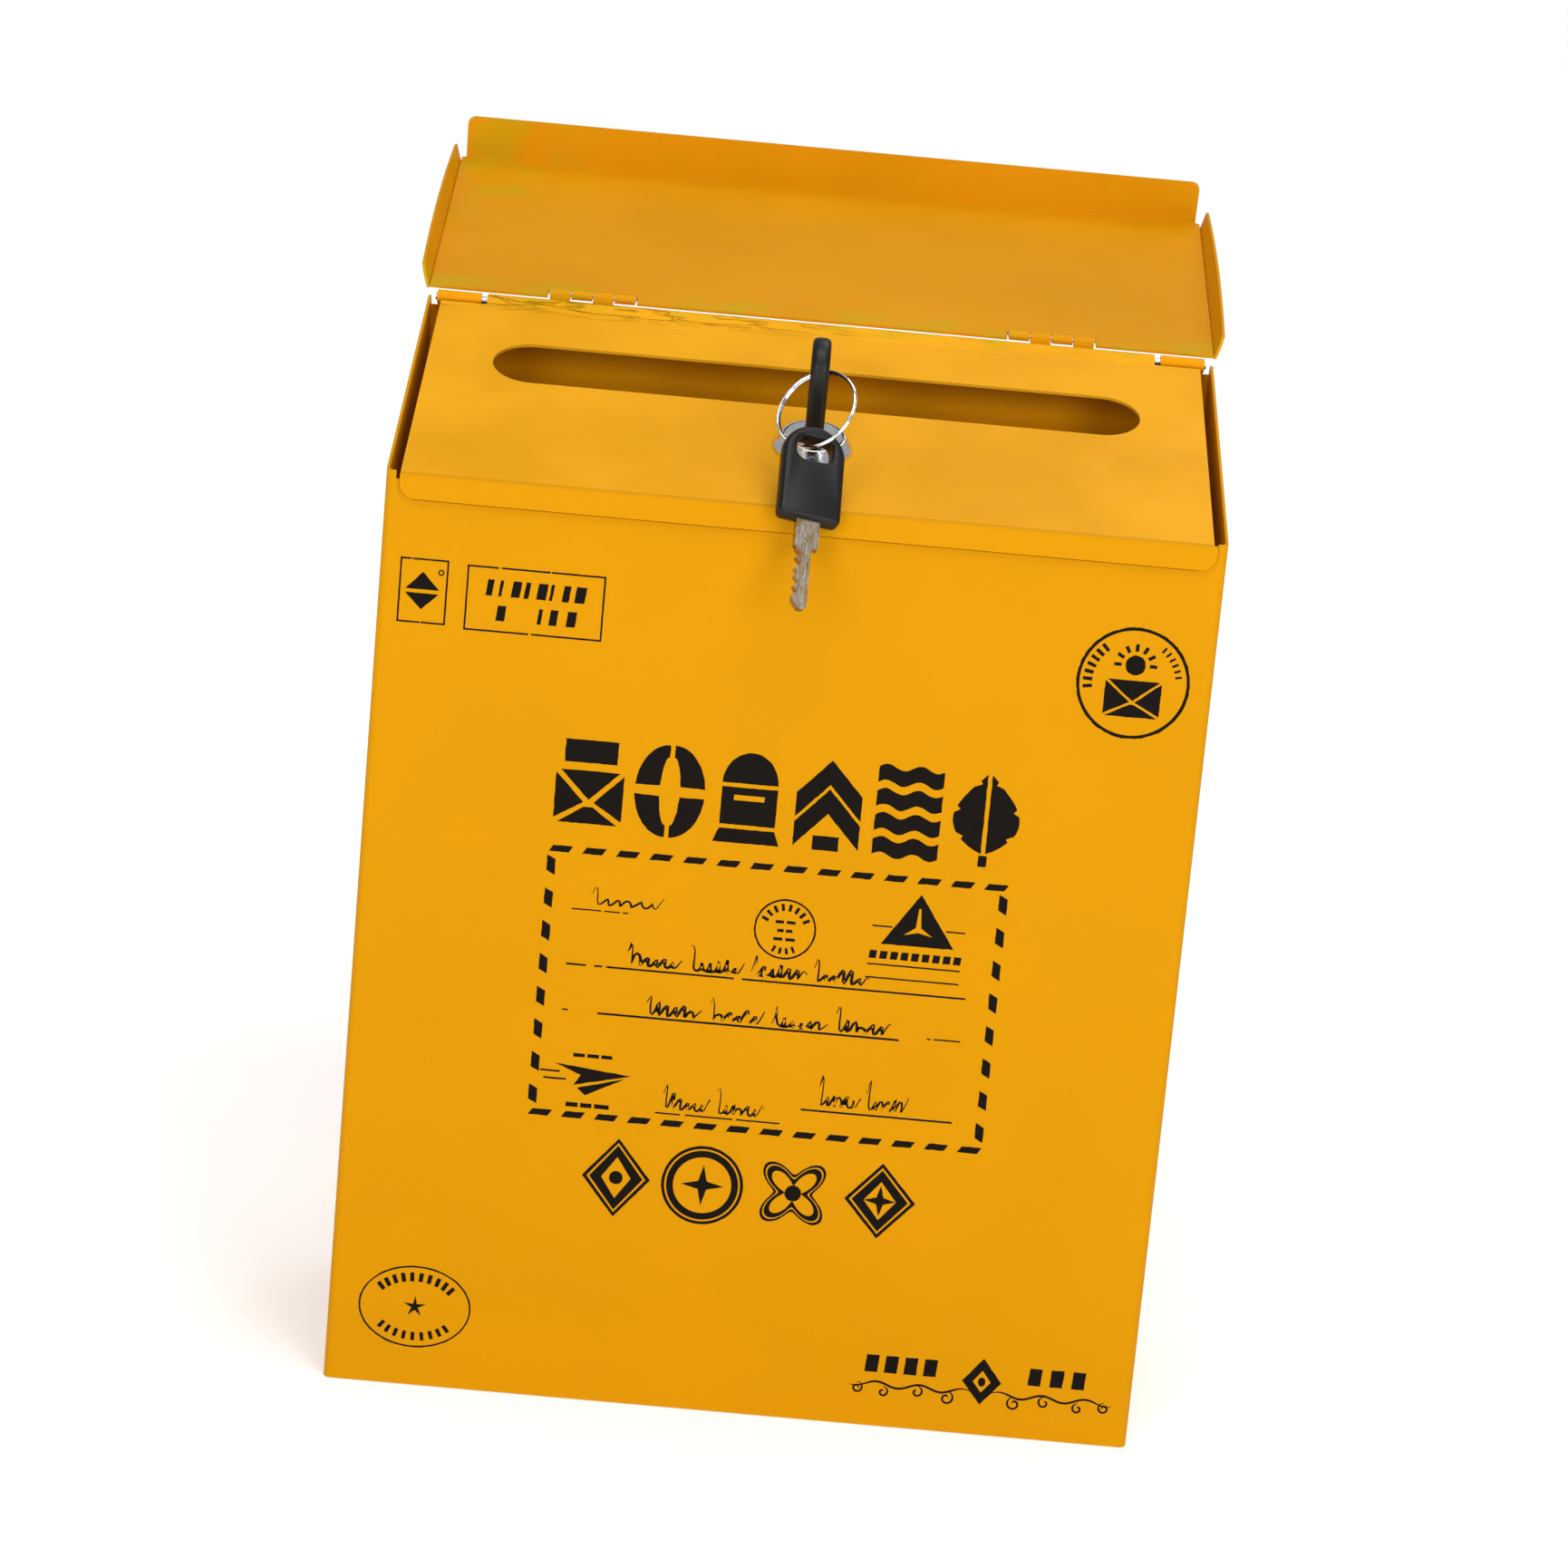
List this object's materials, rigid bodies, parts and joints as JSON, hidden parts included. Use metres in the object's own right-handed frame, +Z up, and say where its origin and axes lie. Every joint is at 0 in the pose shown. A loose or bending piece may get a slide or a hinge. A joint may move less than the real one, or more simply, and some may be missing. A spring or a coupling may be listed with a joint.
{
  "type": "mailbox",
  "caption": "Wall mailbox of enamelled sheet steel with a sloped slot door, a cam lock, keys on a ring and a hinged rain cover.",
  "frame": {"origin": "middle of the bottom face of the case, on the surface it stands on", "axes": "+Z up, -Y out of the front, +Y towards the wall, +X to the right seen from the front"},
  "size_m": [0.2228, 0.2243, 0.3195],
  "materials": {
    "yellow_enamel": "semi gloss",
    "zinc_steel": "zinc plated",
    "lock_chrome": "polished",
    "wafer_brass": "machined",
    "key_nickel": "nickel plated",
    "bow_plastic": "moulded"
  },
  "bodies": {
    "case": {"case_wrap": "yellow_enamel", "back_panel": "yellow_enamel", "bottom_panel": "yellow_enamel", "cam_catch": "yellow_enamel", "hinge_rod": "zinc_steel", "left_fixed_leaf": "yellow_enamel", "left_hinge_pin": "zinc_steel", "right_fixed_leaf": "yellow_enamel", "right_hinge_pin": "zinc_steel"},
    "door": {"door_panel": "yellow_enamel", "lock_body": "lock_chrome", "lock_washer": "zinc_steel", "lock_nut": "zinc_steel"},
    "plug": {"lock_plug": "lock_chrome", "wafers": "wafer_brass", "wafer_springs": "zinc_steel", "cam": "zinc_steel", "cam_screw": "zinc_steel"},
    "key_one": {"key_one_bow": "bow_plastic", "key_one_blade": "key_nickel"},
    "ring": {"key_ring": "lock_chrome"},
    "key_two": {"key_two_bow": "bow_plastic", "key_two_blade": "key_nickel"},
    "cover": {"cover_panel": "yellow_enamel", "left_moving_leaf": "yellow_enamel", "right_moving_leaf": "yellow_enamel"}
  },
  "joints": [
    {"name": "door_hinge", "type": "hinge", "parent": "case", "child": "door", "pos_m": [0, 0.0453, 0.27866], "axis": [-1, 0, 0], "range_deg": [0, 105]},
    {"name": "lock_turn", "type": "hinge", "parent": "door", "child": "plug", "pos_m": [0, -0.017, 0.25623], "axis": [0, -0.3457, 0.9383], "range_deg": [0, 90]},
    {"name": "key_slide", "type": "slide", "parent": "plug", "child": "key_one", "axis": [0, -0.3457, 0.9383], "range_m": [0, 0.028]},
    {"name": "ring_lift", "type": "hinge", "parent": "key_one", "child": "ring", "pos_m": [0, -0.02744, 0.2769], "axis": [-0.866, 0.383, -0.3214], "range_deg": [0, 30]},
    {"name": "key_two_swing", "type": "hinge", "parent": "ring", "child": "key_two", "pos_m": [0, -0.04158, 0.26005], "axis": [-0.866, 0.383, -0.3214], "range_deg": [0, 35]},
    {"name": "cover_hinge", "type": "hinge", "parent": "case", "child": "cover", "pos_m": [0, 0.0489, 0.2819], "axis": [-1, 0, 0], "range_deg": [-160, 68]}
  ],
  "couplings": [
    {"joint": "ring_lift", "follows": "lock_turn", "ratio": 0.33333}
  ]
}
